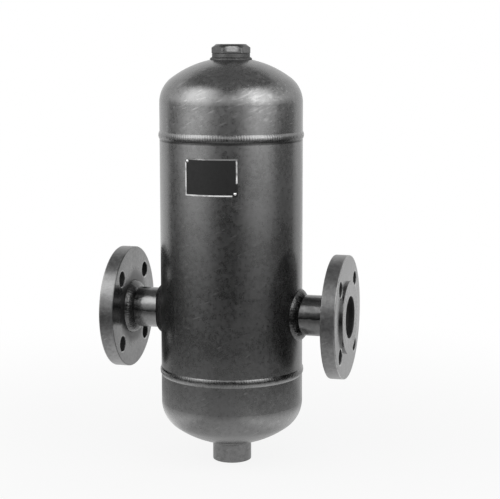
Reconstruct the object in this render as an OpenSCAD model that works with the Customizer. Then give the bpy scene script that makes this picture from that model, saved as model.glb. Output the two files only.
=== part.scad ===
// Baffle-type steam separator: an upright welded vessel with two flanged nozzles in line,
// a plugged vent socket on its crown and a drain socket below.
// Millimetres, +Z up, +X from the inlet to the outlet, origin at the middle of the drain's end face.

/* [Vessel] */
// Outside diameter of the shell tube and of both heads
vessel_od = 168.3; // [150:0.1:220]
// Wall of the shell tube and of both heads
vessel_wall = 7.1; // [5:0.1:10]
// Distance between the middles of the two seam welds
seam_spacing = 280; // [250:1:400]
// Height of a head from its cut edge to its outer crown
head_height = 89; // [80:0.5:120]
// Depth of the dome of a head, above its straight skirt
dome_depth = 52.15; // [46:0.05:60]
// Outer radius of the knuckle between skirt and crown
knuckle_r = 36.15; // [28:0.05:42]

/* [Seam welds] */
// Gap between the two edges at the root of a seam
root_gap = 2; // [1:0.1:4]
// Square land left at the root of a bevelled edge
root_land = 1.6; // [0.8:0.1:2.5]
// Width of the weld groove at the outside of the shell
groove_width = 8.4; // [6:0.1:12]
// Width of shell that a seam weld's cap covers on each side of its groove
cap_overlap = 0.5; // [0.2:0.1:1.5]
// Height of a seam weld's cap above the shell
cap_rise = 1.5; // [0.8:0.1:2.5]

/* [Nozzles] */
// Height of the nozzle axis above the lower seam
nozzle_height = 69; // [62:0.5:140]
// Reach of a gasket face beyond the outside of the shell
nozzle_reach = 60; // [50:0.5:120]
// Outside diameter of a nozzle pipe
pipe_od = 48; // [42:0.1:54]
// Wall of a nozzle pipe
pipe_wall = 4; // [3:0.1:6]
// Setback of a pipe's end from the gasket face
pipe_setback = 6; // [4:0.5:10]
// Leg of the fillet weld between a pipe and the shell
saddle_leg = 7; // [4:0.5:9]
// Leg of the fillet weld between a pipe and the back of its flange
back_leg = 8.5; // [4:0.5:10]
// Leg of the fillet weld on the end of a pipe, inside its flange
face_leg = 4; // [2:0.5:5]

/* [Flanges] */
// Outside diameter of a flange
flange_od = 145; // [135:0.5:165]
// Thickness of a flange with its raised face
flange_thick = 20; // [16:0.5:26]
// Diameter of the raised gasket face
face_od = 85; // [76:0.5:92]
// Height of the raised gasket face
face_rise = 3; // [1.5:0.1:4]
// Diameter of the circle through the bolt holes
bolt_circle = 110; // [104:0.5:120]
// Diameter of a bolt hole
bolt_hole_d = 18; // [14:0.1:20]
// Number of bolt holes
bolt_count = 4; // [4:4:8]
// Chamfer on the edges of a flange
flange_chamfer = 1; // [0.5:0.1:2]

/* [Vent and drain] */
// Inside diameter of a socket at the crests of its thread
thread_crest_d = 30.3; // [24:0.1:34]
// Lead-in chamfer at the mouth of a socket
mouth_chamfer = 1.5; // [0.5:0.1:2.5]
// Outside diameter of the drain socket
drain_od = 46; // [41:0.5:52]
// Length of the drain socket
drain_length = 28; // [24:0.5:50]
// Length of the drain socket below the lower crown
drain_drop = 21; // [10:0.5:30]
// Outside diameter of the vent socket
vent_od = 44.5; // [39:0.5:48]
// Length of the vent socket
vent_length = 26; // [20:0.5:50]
// Height of the vent socket above the upper crown
vent_rise = 5; // [4:0.5:15]
// Leg of the fillet weld around the drain socket
drain_weld_leg = 2; // [2:0.5:5]
// Leg of the fillet weld around the vent socket
vent_weld_leg = 2.5; // [2:0.5:3.5]

/* [Vent plug] */
// Width of the hexagon across its flats
hex_flats = 40; // [34:0.5:46]
// Height of the hexagon
hex_height = 10.5; // [8:0.5:20]
// Diameter of the flat that the chamfer leaves on top of the hexagon
hex_top_d = 35; // [28:0.5:38]
// Slope of that chamfer below the level
hex_slope = 38; // [15:1:45]
// Turn of the hexagon from a flat that faces the front
hex_turn = 20; // [0:1:59]
// Length of the plug's threaded shank
shank_length = 17; // [10:0.5:20]

/* [Baffles] */
// Thickness of a baffle plate
baffle_thick = 4; // [3:0.5:6]
// Space between a guard plate and the shell's bore at the nozzle
guard_space = 38; // [30:0.5:50]
// Depth of a guard plate below the nozzle axis
guard_below = 45; // [30:0.5:55]
// Height of a guard plate above the nozzle axis
guard_above = 60; // [35:0.5:120]
// Passage between the top of the centre plate and the upper seam
climb_space = 70; // [40:1:120]
// Radius of the weep notch at the foot of the centre plate
weep_r = 17; // [16:0.5:24]
// Radius of the weld beads along the plates
baffle_bead_r = 4; // [2:0.5:6]

/* [Name plate] */
// Width of the plate along the shell
plate_width = 63; // [40:0.5:90]
// Height of the plate
plate_height = 42.5; // [30:0.5:60]
// Height of the plate's middle above the nozzle axis
plate_above = 168; // [160:0.5:175]
// Thickness of the plate under its sunk field
plate_field = 0.7; // [0.5:0.1:1.5]
// Height of the plate's rim above its field
rim_rise = 0.4; // [0.2:0.1:0.8]
// Width of the plate's rim
rim_width = 1.6; // [1:0.1:3]
// Radius of the plate's corners
plate_corner = 1; // [0.5:0.1:3]
// Distance of a rivet from the two edges of its corner
rivet_inset = 3; // [2.5:0.1:6]
// Diameter of a rivet's head
rivet_head_d = 3.4; // [3:0.1:5]
// Height of a rivet's head
rivet_head_rise = 0.8; // [0.5:0.1:1.2]
// Diameter of a rivet's shank
rivet_shank_d = 2; // [1.5:0.1:2.5]
// Depth of a rivet's shank in the shell
rivet_depth = 3.5; // [2:0.1:4]

/* [Fits] */
// Radial clearance of a pipe or socket in the hole cut for it
cut_fit = 0.25; // [0.1:0.05:0.5]
// Radial clearance of a pipe in its flange
flange_fit = 0.5; // [0.2:0.05:1]
// Clearance of the baffle plates and their weld beads in the vessel
baffle_fit = 0.2; // [0.1:0.05:0.5]
// Radial clearance of the plug's shank in the vent socket
thread_fit = 0.05; // [0.02:0.01:0.1]
// Clearance under the name plate, around its rivets and under the saddle welds
seat_fit = 0.05; // [0.02:0.01:0.15]

/* [Hidden] */
$fn = 96;
// Facets of a large circle that bounds a small section
fine = 720;
// Overshoot of a cutting or joining shape past the surface it meets
over = 1;

inlet = -1;
outlet = 1;
paint = [0.17, 0.17, 0.175];
bead_paint = [0.2, 0.2, 0.2];
bare_steel = [0.45, 0.45, 0.46];
plate_black = [0.04, 0.04, 0.045];
bright_metal = [0.8, 0.8, 0.8];

vessel_r = vessel_od / 2;
bore_r = vessel_r - vessel_wall;
skirt = head_height + root_gap / 2 - dome_depth;
head_reach = head_height + root_gap / 2;
low_seam_z = drain_drop + head_reach;
top_seam_z = low_seam_z + seam_spacing;
nozzle_z = low_seam_z + nozzle_height;
bevel_slope = (groove_width - root_gap) / 2 / (vessel_wall - root_land);
cap_width = groove_width + 2 * cap_overlap;
crown_r = crown_radius(vessel_r, dome_depth, knuckle_r);

pipe_r = pipe_od / 2;
pipe_bore_r = pipe_r - pipe_wall;
face_x = vessel_r + nozzle_reach;
pipe_end_x = face_x - pipe_setback;
flange_back_x = face_x - flange_thick;
flange_r = flange_od / 2;
flange_bore_r = pipe_r + flange_fit;
thread_r = thread_crest_d / 2;
drain_r = drain_od / 2;
vent_r = vent_od / 2;
hex_r = hex_flats / 2 / cos(30);
hex_top_r = hex_top_d / 2;
hex_cone_r = hex_r + over;
hex_cone_drop = (hex_cone_r - hex_top_r) * tan(hex_slope);

guard_x = bore_r - guard_space - baffle_thick / 2;
plate_z = nozzle_z + plate_above;
plate_in_r = vessel_r + seat_fit;
field_r = plate_in_r + plate_field;
rim_r = field_r + rim_rise;
plate_half_angle = plate_width / 2 / plate_in_r * 180 / PI;
rivet_angle = (plate_width / 2 - rivet_inset) / plate_in_r * 180 / PI;
rivet_z = plate_height / 2 - rivet_inset;
rivet_spot_r = rivet_head_d / 2 + rim_width / 2;

// Radius of the crown arc that is tangent to the knuckle arc and reaches the dome's depth on the axis
function crown_radius(r, depth, knuckle) =
    (pow(r - knuckle, 2) + pow(depth, 2) - pow(knuckle, 2)) / (2 * (depth - knuckle));

// Height of a dome's crown over its skirt at a distance from the axis
function crown_height(distance) =
    dome_depth - crown_r + sqrt(pow(crown_r, 2) - pow(distance, 2));

// Half section of a dome on a straight skirt: the skirt ends at y = 0
module dome_section(r, depth, knuckle, skirt_height) {
    crown = crown_radius(r, depth, knuckle);
    lean = atan2(r - knuckle, crown - depth);
    past = knuckle + depth;
    square([r, skirt_height]);
    intersection() {
        translate([r - knuckle, skirt_height]) circle(knuckle);
        translate([0, skirt_height / 2]) square([r, skirt_height + depth]);
    }
    intersection() {
        translate([0, skirt_height + depth - crown]) circle(crown);
        polygon([
            [0, skirt_height / 2],
            [r - knuckle, skirt_height / 2],
            [r - knuckle, skirt_height],
            [r - knuckle + past * sin(lean), skirt_height + past * cos(lean)],
            [0, skirt_height + past]
        ]);
    }
}

// Half section of the space inside a head, drawn in by a clearance
module head_space_section(gap) {
    dome_section(bore_r - gap, dome_depth - vessel_wall - gap, knuckle_r - vessel_wall - gap, skirt);
}

// Half section of a head from its seam plane, with a bevelled edge and a hole for its socket
module head_section(hole_r) {
    difference() {
        dome_section(vessel_r, dome_depth, knuckle_r, skirt);
        head_space_section(0);
        square([hole_r, 2 * head_reach]);
        polygon([
            [0, -root_gap],
            [0, root_gap / 2],
            [bore_r + root_land, root_gap / 2],
            [vessel_r + root_land, groove_width / 2 + root_land * bevel_slope],
            [vessel_r + root_land, -root_gap]
        ]);
    }
}

// Half section of a seam weld: the filled groove under a rounded cap
module seam_section() {
    cap_r = (pow(cap_width / 2, 2) + pow(cap_rise, 2)) / (2 * cap_rise);
    polygon([
        [bore_r, -root_gap / 2],
        [bore_r + root_land, -root_gap / 2],
        [vessel_r, -groove_width / 2],
        [vessel_r + cap_rise / 2, 0],
        [vessel_r, groove_width / 2],
        [bore_r + root_land, root_gap / 2],
        [bore_r, root_gap / 2]
    ]);
    intersection() {
        translate([vessel_r + cap_rise - cap_r, 0]) circle(cap_r);
        translate([vessel_r, -cap_width]) square([cap_rise + over, 2 * cap_width]);
    }
}

// Half section of a convex fillet weld in the corner of a cylinder and a plane
module fillet_section(corner_r, leg) {
    intersection() {
        translate([corner_r - leg, -leg]) circle(leg * sqrt(5));
        translate([corner_r, 0]) square(leg);
    }
}

// Puts what is drawn outwards from a seam plane onto the upper or the lower end
module on_top() {
    translate([0, 0, top_seam_z]) children();
}

module on_bottom() {
    translate([0, 0, low_seam_z]) mirror([0, 0, 1]) children();
}

// Puts what is drawn along +Z from the vessel's axis onto a nozzle
module on_nozzle(side) {
    translate([0, 0, nozzle_z]) rotate([0, side * 90, 0]) children();
}

// Puts what is drawn outwards along -Y onto the name plate's place
module on_plate(turn, rise) {
    translate([0, 0, plate_z + rise]) rotate([0, 0, turn]) rotate([90, 0, 0]) children();
}

// The two corners of the name plate that are riveted
module at_rivets() {
    on_plate(-rivet_angle, rivet_z) children();
    on_plate(rivet_angle, -rivet_z) children();
}

module shell() {
    color(paint) difference() {
        rotate_extrude() polygon([
            [bore_r, low_seam_z + root_gap / 2],
            [bore_r + root_land, low_seam_z + root_gap / 2],
            [vessel_r, low_seam_z + groove_width / 2],
            [vessel_r, top_seam_z - groove_width / 2],
            [bore_r + root_land, top_seam_z - root_gap / 2],
            [bore_r, top_seam_z - root_gap / 2]
        ]);
        for (side = [inlet, outlet]) on_nozzle(side) cylinder(h = face_x, r = pipe_r + cut_fit);
        at_rivets() translate([0, 0, vessel_r - rivet_depth - seat_fit])
            cylinder(h = vessel_wall, r = rivet_shank_d / 2 + seat_fit);
    }
}

module top_head() {
    color(paint) on_top() rotate_extrude() head_section(vent_r + cut_fit);
}

module bottom_head() {
    color(paint) on_bottom() rotate_extrude() head_section(drain_r + cut_fit);
}

module top_seam_weld() {
    color(bead_paint) on_top() rotate_extrude() seam_section();
}

module bottom_seam_weld() {
    color(bead_paint) on_bottom() rotate_extrude() seam_section();
}

// A nozzle pipe, trimmed flush with the bore of the shell
module nozzle_pipe(side) {
    color(paint) difference() {
        on_nozzle(side) difference() {
            cylinder(h = pipe_end_x, r = pipe_r);
            translate([0, 0, -over]) cylinder(h = pipe_end_x + 2 * over, r = pipe_bore_r);
        }
        translate([0, 0, low_seam_z]) cylinder(h = seam_spacing, r = bore_r);
    }
}

module inlet_pipe() {
    nozzle_pipe(inlet);
}

module outlet_pipe() {
    nozzle_pipe(outlet);
}

module flange(side) {
    step_x = face_x - face_rise;
    color(paint) on_nozzle(side) difference() {
        rotate_extrude() polygon([
            [flange_bore_r, flange_back_x],
            [flange_r - flange_chamfer, flange_back_x],
            [flange_r, flange_back_x + flange_chamfer],
            [flange_r, step_x - flange_chamfer],
            [flange_r - flange_chamfer, step_x],
            [face_od / 2, step_x],
            [face_od / 2, face_x],
            [flange_bore_r + flange_chamfer, face_x],
            [flange_bore_r, face_x - flange_chamfer]
        ]);
        for (hole = [0.5 : bolt_count]) rotate([0, 0, hole * 360 / bolt_count])
            translate([bolt_circle / 2, 0, flange_back_x - over])
                cylinder(h = flange_thick + 2 * over, d = bolt_hole_d);
    }
}

module inlet_flange() {
    flange(inlet);
}

module outlet_flange() {
    flange(outlet);
}

// A fillet weld that follows the saddle curve where a nozzle pipe meets the shell
module saddle_weld(side) {
    stations = 72;
    crown = 0.16;
    near = pipe_r / cos(180 / stations) + seat_fit;
    steps = [0, 0.25, 0.5, 0.75, 1];
    base = function (radius, angle) sqrt(pow(vessel_r, 2) - pow(radius * sin(angle), 2)) + seat_fit;
    ring = function (angle) [
        [near, base(near, angle)],
        for (s = steps)
            let (bulge = crown * 4 * s * (1 - s), out = near + saddle_leg * (s + bulge * (1 - s)))
            [out, base(out, angle) + saddle_leg * (1 - s + bulge * s)],
        [near + saddle_leg / 2, base(near + saddle_leg / 2, angle)]
    ];
    count = len(steps) + 2;
    points = [
        for (k = [0 : stations - 1])
            let (angle = k * 360 / stations)
            for (p = ring(angle)) [p[0] * cos(angle), p[0] * sin(angle), p[1]]
    ];
    faces = [
        for (k = [0 : stations - 1], i = [0 : count - 1])
            let (j = (i + 1) % count, m = (k + 1) % stations)
            each [
                [k * count + i, k * count + j, m * count + j],
                [k * count + i, m * count + j, m * count + i]
            ]
    ];
    color(bead_paint) on_nozzle(side) polyhedron(points, faces);
}

module inlet_saddle_weld() {
    saddle_weld(inlet);
}

module outlet_saddle_weld() {
    saddle_weld(outlet);
}

module flange_back_weld(side) {
    color(bead_paint) on_nozzle(side) translate([0, 0, flange_back_x]) mirror([0, 0, 1])
        rotate_extrude() fillet_section(pipe_r, back_leg);
}

module inlet_flange_back_weld() {
    flange_back_weld(inlet);
}

module outlet_flange_back_weld() {
    flange_back_weld(outlet);
}

// The weld on the end of a nozzle pipe, in the corner with the bore of its flange
module flange_face_weld(side) {
    color(bead_paint) on_nozzle(side) translate([0, 0, pipe_end_x]) rotate_extrude() polygon([
        [flange_bore_r - face_leg, 0],
        [flange_bore_r, 0],
        [flange_bore_r, face_leg]
    ]);
}

module inlet_flange_face_weld() {
    flange_face_weld(inlet);
}

module outlet_flange_face_weld() {
    flange_face_weld(outlet);
}

// A threaded socket that stands out of a head's crown by the given amount
module socket(outer_r, length, proud) {
    mouth_z = head_reach + proud;
    rotate_extrude() polygon([
        [thread_r, mouth_z - length],
        [outer_r, mouth_z - length],
        [outer_r, mouth_z],
        [thread_r + mouth_chamfer, mouth_z],
        [thread_r, mouth_z - mouth_chamfer]
    ]);
}

// A rounded fillet weld between a socket and the crown it passes through
module socket_weld(outer_r, leg) {
    corner_z = skirt + crown_height(outer_r);
    rotate_extrude() difference() {
        intersection() {
            translate([outer_r, corner_z]) circle(leg);
            translate([outer_r, corner_z - leg]) square([leg, 2 * leg]);
        }
        translate([0, head_reach - crown_r]) circle(crown_r, $fn = fine);
    }
}

module vent_socket() {
    color(paint) on_top() socket(vent_r, vent_length, vent_rise);
}

module vent_socket_weld() {
    color(bead_paint) on_top() socket_weld(vent_r, vent_weld_leg);
}

module drain_socket() {
    color(paint) on_bottom() socket(drain_r, drain_length, drain_drop);
}

module drain_socket_weld() {
    color(bead_paint) on_bottom() socket_weld(drain_r, drain_weld_leg);
}

// The hexagon seats on the rim of the vent socket, with its shank in the thread
module vent_plug() {
    shank_r = thread_r - thread_fit;
    color(paint) on_top() translate([0, 0, head_reach + vent_rise]) {
        intersection() {
            rotate([0, 0, hex_turn]) cylinder(h = hex_height, r = hex_r, $fn = 6);
            rotate_extrude() polygon([
                [0, 0],
                [hex_cone_r, 0],
                [hex_cone_r, hex_height - hex_cone_drop],
                [hex_top_r, hex_height],
                [0, hex_height]
            ]);
        }
        rotate_extrude() polygon([
            [0, -shank_length],
            [shank_r - mouth_chamfer, -shank_length],
            [shank_r, mouth_chamfer - shank_length],
            [shank_r, hex_height / 2],
            [0, hex_height / 2]
        ]);
    }
}

// The space inside the vessel, drawn in by a clearance
module vessel_space(gap) {
    on_top() rotate_extrude() head_space_section(gap);
    on_bottom() rotate_extrude() head_space_section(gap);
    translate([0, 0, low_seam_z - over]) cylinder(h = seam_spacing + 2 * over, r = bore_r - gap);
}

// An upright plate across the vessel at the given place along the flow
module cross_plate(middle_x, low_z, high_z) {
    translate([middle_x - baffle_thick / 2, -vessel_r, low_z])
        cube([baffle_thick, vessel_od, high_z - low_z]);
}

module guard_plate(side) {
    color(bare_steel) intersection() {
        cross_plate(side * guard_x, nozzle_z - guard_below, nozzle_z + guard_above);
        cylinder(h = top_seam_z, r = bore_r - baffle_fit);
    }
}

module inlet_guard_plate() {
    guard_plate(inlet);
}

module outlet_guard_plate() {
    guard_plate(outlet);
}

// The steam climbs over the centre plate, and water crosses under it through the weep notch
module centre_plate() {
    foot_z = drain_drop + vessel_wall;
    color(bare_steel) difference() {
        intersection() {
            cross_plate(0, 0, top_seam_z - climb_space);
            vessel_space(baffle_fit);
        }
        translate([-baffle_thick, 0, foot_z]) rotate([0, 90, 0])
            cylinder(h = 2 * baffle_thick, r = weep_r);
    }
}

// Beads along both upright edges of a plate, on the face that looks along +X or -X
module edge_beads(middle_x, face, low_z, high_z) {
    face_at = middle_x + face * baffle_thick / 2;
    edge_y = sqrt(pow(bore_r, 2) - pow(face_at, 2));
    intersection() {
        for (y = [-edge_y, edge_y]) translate([face_at, y, low_z])
            cylinder(h = high_z - low_z, r = baffle_bead_r);
        cylinder(h = top_seam_z, r = bore_r - baffle_fit);
        translate([face > 0 ? face_at : face_at - vessel_od, -vessel_r, 0])
            cube([vessel_od, vessel_od, top_seam_z]);
    }
}

module baffle_weld_beads() {
    end = baffle_bead_r;
    color(bead_paint) {
        for (side = [inlet, outlet]) edge_beads(
            side * guard_x, -side, nozzle_z - guard_below + end, nozzle_z + guard_above - end);
        edge_beads(0, inlet, low_seam_z + groove_width, top_seam_z - climb_space - end);
    }
}

// Outline of the name plate, drawn in by a margin
module plate_outline(margin) {
    corner_steps = 4;
    corner_x = plate_in_r * sin(plate_half_angle) - margin - plate_corner;
    corner_y = plate_height / 2 - margin - plate_corner;
    polygon([
        for (corner = [[1, 1, 0], [-1, 1, 90], [-1, -1, 180], [1, -1, 270]], step = [0 : corner_steps])
            let (angle = corner[2] + step * 90 / corner_steps)
            [corner[0] * corner_x + plate_corner * cos(angle), corner[1] * corner_y + plate_corner * sin(angle)]
    ]);
}

// A curved layer of the name plate between two radii, inside an outline
module plate_layer(in_r, out_r) {
    intersection() {
        translate([0, 0, plate_z - plate_height]) difference() {
            cylinder(h = 2 * plate_height, r = out_r);
            translate([0, 0, -over]) cylinder(h = 2 * plate_height + 2 * over, r = in_r);
        }
        on_plate(0, 0) linear_extrude(2 * vessel_r) children();
    }
}

module name_plate() {
    color(plate_black) difference() {
        plate_layer(plate_in_r, rim_r) plate_outline(0);
        plate_layer(field_r, rim_r + over) plate_outline(rim_width);
        at_rivets() translate([0, 0, field_r]) cylinder(h = rim_rise + over, r = rivet_spot_r);
        at_rivets() cylinder(h = 2 * vessel_r, r = rivet_shank_d / 2 + seat_fit);
    }
}

module name_plate_rivets() {
    head_r = rivet_head_d / 2;
    dome_r = (pow(head_r, 2) + pow(rivet_head_rise, 2)) / (2 * rivet_head_rise);
    color(bright_metal) at_rivets() {
        translate([0, 0, field_r]) rotate_extrude() intersection() {
            translate([0, rivet_head_rise - dome_r]) circle(dome_r);
            square([head_r, rivet_head_rise]);
        }
        translate([0, 0, vessel_r - rivet_depth])
            cylinder(h = rivet_depth + field_r - vessel_r + rivet_head_rise / 2, d = rivet_shank_d);
    }
}

shell();
top_head();
bottom_head();
top_seam_weld();
bottom_seam_weld();
inlet_pipe();
outlet_pipe();
inlet_flange();
outlet_flange();
inlet_saddle_weld();
outlet_saddle_weld();
inlet_flange_back_weld();
outlet_flange_back_weld();
inlet_flange_face_weld();
outlet_flange_face_weld();
vent_socket();
vent_socket_weld();
vent_plug();
drain_socket();
drain_socket_weld();
inlet_guard_plate();
centre_plate();
outlet_guard_plate();
baffle_weld_beads();
name_plate();
name_plate_rivets();
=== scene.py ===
# %% [markdown]
# # A steam separator, dressed for its portrait
# The real object is a small welded pressure vessel: a length of steel tube closed by two dished heads,
# with a flanged nozzle on either side, a plugged vent on its crown and a drain socket below.
# The CAD model holds every piece at its true size. This lesson gives the pieces their looks: the
# camera and light of a studio portrait, the dark paint, and the beads and threads that a welder and a
# lathe leave behind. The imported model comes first, because later measures are read off it.

# %% Load the separator's frame
import math

import bmesh
import bpy
from mathutils import Matrix, Vector
from mathutils.noise import noise as noise_at


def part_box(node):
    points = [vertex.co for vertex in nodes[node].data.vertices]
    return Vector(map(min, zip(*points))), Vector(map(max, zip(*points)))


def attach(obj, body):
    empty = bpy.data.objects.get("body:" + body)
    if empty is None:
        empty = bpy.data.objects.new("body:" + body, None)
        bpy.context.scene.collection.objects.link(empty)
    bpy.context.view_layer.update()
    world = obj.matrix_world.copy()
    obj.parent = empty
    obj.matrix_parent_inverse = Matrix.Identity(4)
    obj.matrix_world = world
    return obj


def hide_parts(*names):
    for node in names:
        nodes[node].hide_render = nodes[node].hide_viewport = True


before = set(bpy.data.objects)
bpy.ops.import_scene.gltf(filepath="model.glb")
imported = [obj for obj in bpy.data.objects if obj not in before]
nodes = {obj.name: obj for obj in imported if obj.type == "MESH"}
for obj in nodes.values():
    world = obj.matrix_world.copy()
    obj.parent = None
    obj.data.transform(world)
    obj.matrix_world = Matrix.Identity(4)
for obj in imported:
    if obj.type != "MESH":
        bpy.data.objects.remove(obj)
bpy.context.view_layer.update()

# %% [markdown]
# ## Measures
# A weld runs where two pieces meet, so its place follows from theirs. The box of each CAD piece gives
# the radii and heights that the beads need. What lies inside a box can't be read from it, such as a
# wall or a weld groove, so those few sizes are written down as the welder knows them.

# %% Measure the pieces that the beads follow
MM = 0.001
X, Y, Z = 0, 1, 2


def span(node, axis):
    """Lowest and highest place of a CAD piece along one axis."""
    low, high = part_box(node)
    return low[axis], high[axis]


def middle(node, axis):
    """Middle of a CAD piece along one axis."""
    return sum(span(node, axis)) / 2


def size(node, axis):
    """Length of a CAD piece along one axis."""
    low, high = span(node, axis)
    return high - low


vessel_r = size("shell", X) / 2
nozzle_z = middle("outlet_pipe", Z)
pipe_r = size("outlet_pipe", Z) / 2
flange_r = size("outlet_flange", Z) / 2
flange_back_x, flange_front_x = span("outlet_flange", X)
print(f"vessel radius {vessel_r / MM:.2f} mm, pipe radius {pipe_r / MM:.2f} mm")
print(f"nozzles at a height of {nozzle_z / MM:.1f} mm")

# %% [markdown]
# ## Camera
# A catalogue portrait is taken from a little to the right and a little above, with a long lens so that
# the vessel's sides stay nearly parallel. The place below was found by matching the edges of the
# flanges and of the shell. A small shift of the frame stands for the picture's crop.

# %% Place the camera
PICTURE_W, PICTURE_H = 500, 499
SENSOR = 36.0
FOCAL_PIXELS = 1417.83
AXIS_ROW = 212.95
CAMERA_PLACE = Vector((473.82, -1595.99, 509.14)) * MM
CAMERA_YAW = math.radians(15.78)
CAMERA_PITCH = math.radians(7.23)
CAMERA_ROLL = math.radians(-0.08)
NEAREST, FARTHEST = 0.05, 50

lens = bpy.data.cameras.new("portrait_lens")
lens.sensor_width = SENSOR
lens.lens = FOCAL_PIXELS / PICTURE_W * SENSOR
lens.shift_y = (AXIS_ROW - PICTURE_H / 2) / PICTURE_W
lens.clip_start = NEAREST
lens.clip_end = FARTHEST
camera = bpy.data.objects.new("portrait_camera", lens)
bpy.context.collection.objects.link(camera)
yaw = Matrix.Rotation(CAMERA_YAW, 4, "Z")
pitch = Matrix.Rotation(math.pi / 2 - CAMERA_PITCH, 4, "X")
roll = Matrix.Rotation(CAMERA_ROLL, 4, "Z")
camera.matrix_world = Matrix.Translation(CAMERA_PLACE) @ yaw @ pitch @ roll
bpy.context.scene.camera = camera
bpy.context.scene.view_settings.view_transform = "Standard"
print(f"lens {lens.lens:.1f} mm, shift {lens.shift_y:.3f}")

# %% [markdown]
# ## Small helpers for shader nodes
# Every finish below is a handful of connected nodes. They could be added and linked one by one, but a
# few helpers keep that short. One adds a node, one feeds a socket with a number or a connection, and
# the others work out a number or a colour. More helpers follow where a finish first needs them.

# %% Define the helpers that add and connect nodes


def add(tree, kind, **settings):
    """Adds a shader node of a kind and sets its properties."""
    item = tree.nodes.new("ShaderNode" + kind)
    for key, value in settings.items():
        setattr(item, key, value)
    return item


def feed(tree, value, socket):
    """Gives a socket a fixed value, or another node's output."""
    if isinstance(value, bpy.types.NodeSocket):
        tree.links.new(value, socket)
    else:
        socket.default_value = value


def calc(tree, operation, *values):
    """Output of a Math node."""
    item = add(tree, "Math", operation=operation)
    for value, socket in zip(values, item.inputs):
        feed(tree, value, socket)
    return item.outputs[0]


def chain(tree, operation, result, *others):
    """Output of Math nodes that take up one value after another."""
    for value in others:
        result = calc(tree, operation, result, value)
    return result


def highest(tree, *values):
    """The highest of the values."""
    return chain(tree, "MAXIMUM", *values)


def grey(value):
    """A colour without a hue."""
    return (value, value, value, 1.0)


print("node helpers ready")

# %% [markdown]
# ## Studio
# The vessel stands on a white floor against a white sweep. Dark glossy paint shows its surroundings
# more than its own colour, so what stands around it matters most. A photographer lights such a vessel
# with two large soft boxes beside the camera and lets the rest of the room stay dark. One soft box
# would do for the light itself, but its hard outline would show in the paint. So the light and its
# mirror image are made apart: plain area lamps light the scene, and a screen round the vessel, which
# only reflections see, glows softly where the soft boxes stand.
#
# The sweep is the world itself. It is white where the camera or a reflection looks, and only a weaker
# fill for all other light, so that it doesn't wash the vessel out.

# %% Light the white sweep
FILL_COLOUR, FILL_LEVEL = 0.8, 0.5


def ray_kinds(tree):
    """Two outputs: 1 for a ray from the camera or through glass, and 1 for a ray from a reflection."""
    path = add(tree, "LightPath")
    direct = highest(tree, path.outputs["Is Camera Ray"], path.outputs["Is Transmission Ray"])
    return direct, path.outputs["Is Glossy Ray"]


def background(tree, colour, strength):
    """Output of a Background node."""
    item = add(tree, "Background")
    feed(tree, grey(colour), item.inputs["Color"])
    feed(tree, strength, item.inputs["Strength"])
    return item.outputs[0]


def mix_shaders(tree, share, shader_a, shader_b):
    """Output of a Mix Shader node."""
    item = add(tree, "MixShader")
    for value, socket in zip((share, shader_a, shader_b), item.inputs):
        feed(tree, value, socket)
    return item.outputs[0]


def end_with(tree, shader, output="OutputMaterial"):
    """Closes a node tree with a shader."""
    feed(tree, shader, add(tree, output).inputs["Surface"])


world = bpy.data.worlds.new("white_sweep")
bpy.context.scene.world = world
world.use_nodes = True
world.cycles.sampling_method = "NONE"
tree = world.node_tree
tree.nodes.clear()
fill = background(tree, FILL_COLOUR, FILL_LEVEL)
white = background(tree, 1.0, 1.0)
end_with(tree, mix_shaders(tree, highest(tree, *ray_kinds(tree)), fill, white), "OutputWorld")
print("sweep: fill", FILL_LEVEL)

# %% [markdown]
# The floor is a wide matt disc. To the camera it turns white away from the vessel, so that no horizon
# shows, and round the foot it keeps the vessel's shadow. The paint mirrors it too, so the level of its
# mirror image is set apart: bright at the foot, brighter beside the vessel, dim in front of it, darker
# on the right, pale behind, and white far out.

# %% Define sums, ramps and an empty finish


def product(tree, *values):
    """All values, multiplied."""
    return chain(tree, "MULTIPLY", *values)


def total(tree, *values):
    """All values, added up."""
    return chain(tree, "ADD", *values)


def hypotenuse(tree, side_a, side_b):
    """Distance that two measures at right angles span."""
    return calc(tree, "SQRT", total(tree, product(tree, side_a, side_a), product(tree, side_b, side_b)))


def coordinates(tree, place):
    """The x, y and z of a place."""
    item = add(tree, "SeparateXYZ")
    feed(tree, place, item.inputs[0])
    return item.outputs


def ramp(tree, value, low, high, to_low=0.0, to_high=1.0):
    """A value between low and high, moved smoothly to another range and held outside it."""
    item = add(tree, "MapRange", interpolation_type="SMOOTHSTEP")
    for number, socket in zip((value, low, high, to_low, to_high), item.inputs):
        feed(tree, number, socket)
    return item.outputs[0]


def clear_finish(name):
    """A new material with an empty node tree, and the x, y and z of a point of its surface."""
    finish = bpy.data.materials.new(name)
    finish.use_nodes = True
    tree = finish.node_tree
    tree.nodes.clear()
    return finish, tree, coordinates(tree, add(tree, "TexCoord").outputs["Object"])


print("sums and ramps ready")

# %% Draw the floor's finish
FLOOR_COLOUR = 0.8
# Share of glow in what the camera sees, from near the vessel to far out
NEAR_GLOW = 0.88
NEAR_R, FAR_R = 0.12, 0.9
# Share of glow in what a reflection sees, and its level from the foot to the front
REFLECTED_SHARE = 0.75
FOOT_LEVEL, FRONT_LEVEL = 1.0, 0.3
FOOT_R, FRONT_R = 0.06, 0.42
# Levels behind the vessel, beside it and on its right, and where they set in
BEHIND_LEVEL, BEHIND = 0.72, (0.2, 0.4)
BESIDE_GAIN, BESIDE, BESIDE_END = 1.0, (0.06, 0.14), (0.3, 0.42)
RIGHT_SHADE, RIGHT = 0.45, (0.3, 0.5)


def emission(tree, strength):
    """Output of a white Emission node."""
    item = add(tree, "Emission")
    feed(tree, grey(1.0), item.inputs["Color"])
    feed(tree, strength, item.inputs["Strength"])
    return item.outputs[0]


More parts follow.
